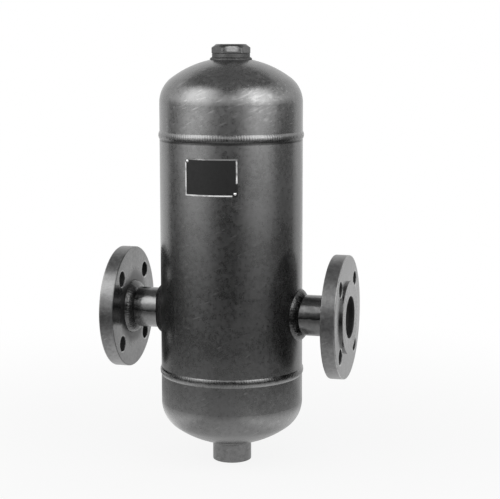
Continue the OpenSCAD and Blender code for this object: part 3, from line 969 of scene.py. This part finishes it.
# %% Define the crests of the nozzle beads
SADDLE_LEG = 7 * MM
SADDLE_BULGE = 0.16
FILLET_SINK = 0.35
CREST_STEPS = 8


def fillet_crest(corner_r, leg):
    """Crest of a convex fillet, from the plane to the cylinder of its corner."""
    sunk = FILLET_SINK * leg
    reach = math.hypot(sunk, leg + sunk)
    low = math.atan2(sunk, leg + sunk)
    return arc((corner_r - sunk, -sunk), reach, low, math.pi / 2 - low, CREST_STEPS)


def saddle_crest(near):
    """Crest of a saddle bead, from the pipe to the shell, over the shell's surface."""
    points = []
    for share in spread(0, 1, CREST_STEPS):
        bulge = SADDLE_BULGE * 4 * share * (1 - share)
        out = SADDLE_LEG * (share + bulge * (1 - share))
        points.append((near + out, SADDLE_LEG * (1 - share + bulge * share)))
    return points


print(f"saddle legs of {SADDLE_LEG / MM:.1f} mm")

# %% Lay the nozzle beads
BACK_LEG = 8.5 * MM
FACE_LEG = 4 * MM
SEAT_FIT = 0.05 * MM


def on_nozzle(side, radius, angle, along):
    """A point round a nozzle's axis, at a distance along it from the vessel's axis."""
    return Vector((side * along, radius * math.cos(angle), nozzle_z + radius * math.sin(angle)))


def saddle_depth(radius, angle):
    """Distance of the shell's surface from the vessel's axis, along a nozzle."""
    return math.sqrt(vessel_r ** 2 - (radius * math.cos(angle)) ** 2)


near = pipe_r + 2 * SEAT_FIT
end_x = span("outlet_pipe", X)[1]
for name, side, saddle_finish in (("inlet", -1, weld_paint), ("outlet", 1, shaded_saddle_weld_paint)):
    rippled_bead(name + "_saddle_weld", saddle_crest(near), [(near + SADDLE_LEG / 2, 0), (near, 0)],
                 seed=20 + side, finish=saddle_finish,
                 place=lambda radius, angle, height: on_nozzle(
                     side, radius, angle, saddle_depth(radius, angle) + SEAT_FIT + height))
    rippled_bead(name + "_flange_back_weld", fillet_crest(pipe_r, BACK_LEG), [(pipe_r, 0)],
                 seed=30 + side, finish=shaded_back_weld_paint,
                 place=lambda radius, angle, height: on_nozzle(side, radius, angle, flange_back_x - height))
    outer_r = size(name + "_flange_face_weld", Z) / 2
    slope = [(outer_r - FACE_LEG + rise, rise) for rise in spread(0, FACE_LEG, CREST_STEPS)]
    rippled_bead(name + "_flange_face_weld", slope, [(outer_r, 0)], seed=40 + side, finish=shade_and_scale_black,
                 place=lambda radius, angle, height: on_nozzle(side, radius, angle, end_x + height))

# %% [markdown]
# The two sockets stand in holes in the heads' crowns, with a round bead in the corner. The crown falls
# away from the socket, so the bead's arc starts a little below the horizontal.

# %% Lay the socket beads
CROWN_R = 116.15 * MM

for name, up, finish in (("vent", 1, shaded_vent_paint), ("drain", -1, weld_paint)):
    node = name + "_socket_weld"
    socket_r = size(name + "_socket", X) / 2
    leg = size(node, X) / 2 - socket_r
    corner_z = span(node, Z)[1] - leg if up > 0 else span(node, Z)[0] + leg
    fall = math.asin((socket_r + leg / 2) / CROWN_R)
    crest = arc((socket_r, 0), leg, -fall, math.pi / 2, CREST_STEPS)
    rippled_bead(node, crest, [(socket_r, 0)], seed=50 + up, finish=finish,
                 place=lambda radius, angle, height: on_vessel(radius, angle, corner_z + up * height))

# %% [markdown]
# ## Flanges
# A flange is turned on a lathe and then drilled, and a file or a countersink takes every sharp edge
# off. Those broken edges catch the light, so the flanges are made again here: a section is spun, its
# rings of edges are bevelled round, and four flared cutters take out the bolt holes. Weighted normals
# keep the flat faces flat beside the small roundings.

# %% Define how edges are rounded
BEVEL_STEPS = 4


def round_edges(bm, edges, rounding):
    """Bevels edges to a rounding."""
    bmesh.ops.bevel(bm, geom=edges, offset=rounding, offset_type="OFFSET", affect="EDGES",
                    segments=BEVEL_STEPS, profile=0.5, material=-1)


def round_ring(bm, radius, height, rounding):
    """Bevels one ring of edges of a spun piece."""
    ring = [edge for edge in bm.edges if all(
        abs(vert.co.xy.length - radius) < HAIR and abs(vert.co.z - height) < HAIR for vert in edge.verts)]
    round_edges(bm, ring, rounding)


print("roundings of", BEVEL_STEPS, "steps")

# %% Define how solids are turned, copied and cut


def turned_solid(profile, steps):
    """A solid whose profile starts and ends on the Z axis, spun round that axis."""
    bm = spin_section(profile, steps)
    bmesh.ops.delete(bm, geom=[edge for edge in bm.edges if not edge.link_faces], context="EDGES")
    bmesh.ops.recalc_face_normals(bm, faces=bm.faces)
    return bm


def whole(bm):
    """Everything that a bmesh holds."""
    return list(bm.verts) + list(bm.edges) + list(bm.faces)


def add_copy(bm, geom, turn, centre=(0, 0, 0)):
    """Copies a part of a bmesh and turns the copy about a centre."""
    copied = bmesh.ops.duplicate(bm, geom=geom)["geom"]
    verts = [item for item in copied if isinstance(item, bmesh.types.BMVert)]
    bmesh.ops.rotate(bm, verts=verts, matrix=turn, cent=centre)


def combined(bm, other_bm, operation):
    """A bmesh cut by, met with or joined to another, by a Boolean on two objects that don't stay."""
    block = place_mesh("block", bm, vessel_paint)
    other = place_mesh("other", other_bm, vessel_paint)
    combine = block.modifiers.new("combine", "BOOLEAN")
    combine.operation = operation
    combine.solver = "EXACT"
    combine.object = other
    result = bmesh.new()
    result.from_mesh(block.evaluated_get(bpy.context.evaluated_depsgraph_get()).data)
    for spent in (block, other):
        bpy.data.meshes.remove(spent.data)
    bmesh.ops.remove_doubles(result, verts=result.verts, dist=MERGE)
    bmesh.ops.triangulate(result, faces=[face for face in result.faces if len(face.verts) > 4])
    bmesh.ops.dissolve_degenerate(result, edges=result.edges, dist=MERGE)
    return result


def even_normals(piece):
    """Keeps flat faces flat beside small roundings."""
    piece.modifiers.new("even_normals", "WEIGHTED_NORMAL").keep_sharp = True


print(f"points closer than {MERGE / MM:.3f} mm merge")

# %% Turn a flange
FLANGE_BORE_R = 24.5 * MM
FACE_R = 42.5 * MM
RIM_ROUND = 1.0 * MM
FACE_ROUND = 0.5 * MM
FLANGE_STEPS = 160

flange_thick = flange_front_x - flange_back_x
step_height = flange_thick - FACE_RISE


def turned_flange():
    """The flange without its bolt holes, from its back face up the Z axis."""
    bm = spin_section([(FLANGE_BORE_R, 0), (flange_r, 0), (flange_r, step_height), (FACE_R, step_height),
                       (FACE_R, flange_thick), (FLANGE_BORE_R, flange_thick)], FLANGE_STEPS)
    bmesh.ops.recalc_face_normals(bm, faces=bm.faces)
    round_ring(bm, flange_r, 0, RIM_ROUND)
    round_ring(bm, flange_r, step_height, RIM_ROUND)
    round_ring(bm, FACE_R, flange_thick, FACE_ROUND)
    round_ring(bm, FLANGE_BORE_R, flange_thick, RIM_ROUND)
    return bm


print(f"flanges of {flange_thick / MM:.1f} mm")

# %% Drill the flanges
BOLT_COUNT = 4
HOLE_FLARE = 0.9 * MM
HOLE_STEPS = 48
PAST = 2 * MM


def hole_cutters():
    """Four cutters on the bolt circle, each flared where it leaves the flange."""
    wide_r = BOLT_HOLE_R + HOLE_FLARE
    profile = [(0, -PAST), (wide_r, -PAST), (wide_r, 0), (BOLT_HOLE_R, HOLE_FLARE),
               (BOLT_HOLE_R, step_height - HOLE_FLARE), (wide_r, step_height),
               (wide_r, step_height + PAST), (0, step_height + PAST)]
    bm = turned_solid(profile, HOLE_STEPS)
    bmesh.ops.translate(bm, verts=bm.verts, vec=(BOLT_CIRCLE_R, 0, 0))
    bmesh.ops.rotate(bm, verts=bm.verts, matrix=Matrix.Rotation(math.pi / BOLT_COUNT, 3, "Z"))
    first = whole(bm)
    for hole in range(1, BOLT_COUNT):
        add_copy(bm, first, Matrix.Rotation(2 * math.pi * hole / BOLT_COUNT, 3, "Z"))
    bmesh.ops.recalc_face_normals(bm, faces=bm.faces)
    return bm


for name, side in (("inlet", -1), ("outlet", 1)):
    bm = combined(turned_flange(), hole_cutters(), "DIFFERENCE")
    bmesh.ops.translate(bm, verts=bm.verts, vec=(0, 0, flange_back_x))
    to_nozzle = Matrix.Translation((0, 0, nozzle_z)) @ Matrix.Rotation(side * math.pi / 2, 4, "Y")
    bmesh.ops.transform(bm, matrix=to_nozzle, verts=bm.verts)
    even_normals(finish_piece(name + "_flange", bm, flange_paint))

# %% [markdown]
# ## Threaded sockets
# The drain and the vent are plain round bosses with a one-inch pipe thread. Their bore is the radius of
# the thread's crests, and the thread runs into the wall from there. Each socket is spun with a finely
# divided bore, from its mouth inwards, and then each point of the bore moves out by a triangle wave that
# climbs one pitch for each turn. The wave dies away at both ends, as a tapped thread does. The vent's
# socket is turned over and not mirrored, because a mirrored thread would be left-handed.

# %% Cut the sockets' threads
THREAD_PITCH = 2.309 * MM
THREAD_DEPTH = 1.479 * MM
THREAD_R = 15.15 * MM
MOUTH_CHAMFER = 1.5 * MM
MOUTH_ROUND = 0.8 * MM
RUN_OUT = 3 * MM
TURN_POINTS = 8
SOCKET_STEPS = 96


def threaded_socket(outer_r, length):
    """A socket that stands on its mouth at the origin, with a thread in its bore."""
    rows = round((length - MOUTH_CHAMFER) / THREAD_PITCH * TURN_POINTS)
    bore = [(THREAD_R, height) for height in spread(MOUTH_CHAMFER, length, rows)]
    mouth = [(THREAD_R + MOUTH_CHAMFER, 0)]
    bm = spin_section(mouth + bore + [(outer_r, length), (outer_r, 0)], SOCKET_STEPS)
    bmesh.ops.recalc_face_normals(bm, faces=bm.faces)
    round_ring(bm, outer_r, 0, MOUTH_ROUND)
    for vert in bm.verts:
        radius = vert.co.xy.length
        if abs(radius - THREAD_R) < HAIR:
            turns = vert.co.z / THREAD_PITCH - math.atan2(vert.co.y, vert.co.x) / (2 * math.pi)
            wave = abs(turns % 1 * 2 - 1)
            from_end = min(vert.co.z - MOUTH_CHAMFER, length - vert.co.z)
            out = 1 + THREAD_DEPTH * wave * min(1, from_end / RUN_OUT) / radius
            vert.co.x, vert.co.y = vert.co.x * out, vert.co.y * out
    return bm


for name, mouth_up, finish in (("drain", False, socket_paint), ("vent", True, shaded_vent_paint)):
    node = name + "_socket"
    foot_z, top_z = span(node, Z)
    bm = threaded_socket(size(node, X) / 2, top_z - foot_z)
    if mouth_up:
        bmesh.ops.rotate(bm, verts=bm.verts, matrix=Matrix.Rotation(math.pi, 3, "X"))
    bmesh.ops.translate(bm, verts=bm.verts, vec=(0, 0, top_z if mouth_up else foot_z))
    finish_piece(node, bm, finish)

# %% [markdown]
# ## Vent plug
# The plug is forged as a hexagon, so its upright corners are rounded by the die. A lathe then takes the
# corners off the top at a slant, which leaves the curved edges that every such plug has. It is made the
# same way: a six-sided prism is bevelled, what lies inside a turned blank is kept, and the shank is
# joined on below.

# %% Forge the vent plug
HEX_FLATS = 40 * MM
HEX_TOP_R = 17.5 * MM
HEX_SLOPE = math.radians(38)
HEX_SIDES = 6
CORNER_ROUND = 1.2 * MM
EDGE_ROUND = 0.5 * MM
SHANK_R = 15.1 * MM

seat_z = span("vent_socket", Z)[1]
shank_z, plug_top_z = span("vent_plug", Z)
hex_r = HEX_FLATS / 2 / math.cos(math.pi / HEX_SIDES)
prism_height = plug_top_z - seat_z + PAST

hexagon = bmesh.new()
bmesh.ops.create_cone(hexagon, cap_ends=True, segments=HEX_SIDES, radius1=hex_r, radius2=hex_r,
                      depth=prism_height)
to_flat = Matrix.Rotation(PLUG_TURN + math.pi / HEX_SIDES, 3, "Z")
bmesh.ops.rotate(hexagon, verts=hexagon.verts, matrix=to_flat)
bmesh.ops.translate(hexagon, verts=hexagon.verts, vec=(0, 0, seat_z + prism_height / 2))
upright = [edge for edge in hexagon.edges if abs(edge.verts[0].co.z - edge.verts[1].co.z) > HAIR]
round_edges(hexagon, upright, CORNER_ROUND)
seated = [edge for edge in hexagon.edges if all(vert.co.z < seat_z + HAIR for vert in edge.verts)]
round_edges(hexagon, seated, EDGE_ROUND)

blank_r = hex_r + PAST
slope_foot_z = plug_top_z - (blank_r - HEX_TOP_R) * math.tan(HEX_SLOPE)
blank = turned_solid([(0, seat_z - PAST), (blank_r, seat_z - PAST), (blank_r, slope_foot_z),
                      (HEX_TOP_R, plug_top_z), (0, plug_top_z)], SOCKET_STEPS)
round_ring(blank, HEX_TOP_R, plug_top_z, EDGE_ROUND)
shank = turned_solid([(0, shank_z), (SHANK_R - MOUTH_CHAMFER, shank_z), (SHANK_R, shank_z + MOUTH_CHAMFER),
                      (SHANK_R, seat_z + PAST), (0, seat_z + PAST)], SOCKET_STEPS)
bm = combined(combined(hexagon, blank, "INTERSECT"), shank, "UNION")
even_normals(finish_piece("vent_plug", bm, plug_paint))

# %% [markdown]
# ## Name plate
# The plate is a thin curved sheet with a black field and a bright rim that stands a little proud. The rim
# is part of the same sheet, so one material does both: the distance from the vessel's axis tells the rim
# from the field. The rim is worn in patches and duller along its top, and round the lower rivet the black
# has run over it.

# %% Finish the name plate
RIM_RISE = 0.4 * MM
RIM_STEP = (-0.6 * RIM_RISE, -0.4 * RIM_RISE)
PLATE_BLACK = 0.01
PLATE_SPECULAR = 0.3
PLATE_ROUGHNESS = (0.5, 0.65)
PLATE_SCUFFS, PLATE_SCUFF_DEPTH = 260, 0.02 * MM
NOISE_MIDDLE = (0.3, 0.7)
RIM_WORN, RIM_BRIGHT = 0.2, 0.75
RIM_PATCHES, RIM_PATCH_RANGE = 75, (0.3, 0.55)
TOP_EDGE, TOP_DULLER = (-2.5 * MM, -1.5 * MM), 0.2
RUN_ASIDE = (24 * MM, 26 * MM)
RUN_ABOVE = (14 * MM, 16 * MM)

plate_rim_r = -span("name_plate", Y)[0]
plate_low, plate_top = span("name_plate", Z)
plate_finish, tree, shader, place = start_finish("plate_black")
x, y, z = coordinates(tree, place)
# The rim is duller along its top
at_top = product(tree, beyond(tree, z, plate_top, TOP_EDGE), TOP_DULLER)
rim_lightness = calc(tree, "SUBTRACT", noise(tree, place, RIM_PATCHES, detail=3), at_top)
bright = ramp(tree, rim_lightness, *RIM_PATCH_RANGE)
rim_colour = blend_colour(tree, bright, grey(RIM_WORN), grey(RIM_BRIGHT))
run_over = product(tree, ramp(tree, x, *RUN_ASIDE), within(tree, z, plate_low, RUN_ABOVE))
rim_colour = blend_colour(tree, run_over, rim_colour, grey(PLATE_BLACK))
on_rim = beyond(tree, hypotenuse(tree, x, y), plate_rim_r, RIM_STEP)
feed(tree, blend_colour(tree, on_rim, grey(PLATE_BLACK), rim_colour), shader.inputs["Base Color"])
feed(tree, PLATE_SPECULAR, shader.inputs["Specular IOR Level"])
scuffs = noise(tree, place, PLATE_SCUFFS, detail=3)
feed(tree, ramp(tree, scuffs, *NOISE_MIDDLE, *PLATE_ROUGHNESS), shader.inputs["Roughness"])
feed(tree, bump(tree, scuffs, PLATE_SCUFF_DEPTH), shader.inputs["Normal"])
paint_nodes(plate_finish, "name_plate")
print(f"plate rim at {plate_rim_r / MM:.2f} mm from the axis")

# %% [markdown]
# Two drive rivets hold the plate, in opposite corners. Each is a small domed head on a shank that is
# hammered into a blind hole in the shell, and the hammer has left fine dents. A rivet is spun upright
# round its own axis, laid over so that it points out of the shell, and turned to its corner. Half a turn
# about the middle of the plate gives the other one.

# %% Drive the rivets
RIVET_HEAD_R = 1.7 * MM
RIVET_RISE = 0.8 * MM
RIVET_SHANK_R = 1.0 * MM
RIVET_DEPTH = 3.5 * MM
RIVET_INSET = 3 * MM
RIVET_STEPS = 32
DOME_STEPS = 8
PLATE_WIDTH = 63 * MM
DENTS = 1500
RIVET_TONES = (0.7, 0.9)
RIVET_ROUGHNESS = (0.3, 0.45)

rivet_finish, tree, shader, place = start_finish("rivet_metal")
feed(tree, 1.0, shader.inputs["Metallic"])
dents = noise(tree, place, DENTS)
feed(tree, blend_colour(tree, dents, *map(grey, RIVET_TONES)), shader.inputs["Base Color"])
feed(tree, ramp(tree, dents, *NOISE_MIDDLE, *RIVET_ROUGHNESS), shader.inputs["Roughness"])

field_r = plate_rim_r - RIM_RISE
foot_r = vessel_r - RIVET_DEPTH
dome_r = (RIVET_HEAD_R ** 2 + RIVET_RISE ** 2) / (2 * RIVET_RISE)
dome = arc((0, field_r + RIVET_RISE - dome_r), dome_r, math.acos(RIVET_HEAD_R / dome_r), math.pi / 2,
           DOME_STEPS)
rivets = turned_solid([(0, foot_r), (RIVET_SHANK_R, foot_r), (RIVET_SHANK_R, field_r), *dome[:-1],
                       (0, field_r + RIVET_RISE)], RIVET_STEPS)
rivet_turn = (PLATE_WIDTH / 2 - RIVET_INSET) / (vessel_r + SEAT_FIT)
to_corner = Matrix.Rotation(-rivet_turn, 3, "Z") @ Matrix.Rotation(math.pi / 2, 3, "X")
bmesh.ops.rotate(rivets, verts=rivets.verts, matrix=to_corner)
bmesh.ops.translate(rivets, verts=rivets.verts, vec=(0, 0, plate_top - RIVET_INSET))
add_copy(rivets, whole(rivets), Matrix.Rotation(math.pi, 3, "Y"), (0, 0, middle("name_plate", Z)))
finish_piece("name_plate_rivets", rivets, rivet_finish)

# %% [markdown]
# ## Bare plates inside
# The baffles are cut from hot-rolled plate and never painted. Their mill scale is patchy, with a trace
# of rust. They only show through the nozzles.

# %% Finish the baffles
SCALE_METALLIC = 0.85
MILL_SCALE = (0.16, 0.15, 0.145, 1.0)
RUST = (0.13, 0.085, 0.06, 1.0)
RUST_PATCHES, RUST_RANGE = 60, (0.4, 0.65)
BARE_ROUGHNESS = (0.45, 0.75)
PITS, PIT_DEPTH = 500, 0.05 * MM

scale_finish, tree, shader, place = start_finish("baffle_steel")
feed(tree, SCALE_METALLIC, shader.inputs["Metallic"])
patches = noise(tree, place, RUST_PATCHES, detail=5)
rusty = ramp(tree, patches, *RUST_RANGE)
feed(tree, blend_colour(tree, rusty, MILL_SCALE, RUST), shader.inputs["Base Color"])
feed(tree, ramp(tree, patches, *NOISE_MIDDLE, *BARE_ROUGHNESS), shader.inputs["Roughness"])
feed(tree, bump(tree, noise(tree, place, PITS, detail=3), PIT_DEPTH), shader.inputs["Normal"])
paint_nodes(scale_finish, "inlet_guard_plate", "centre_plate", "outlet_guard_plate", "baffle_weld_beads")
print("baffles in mill scale")
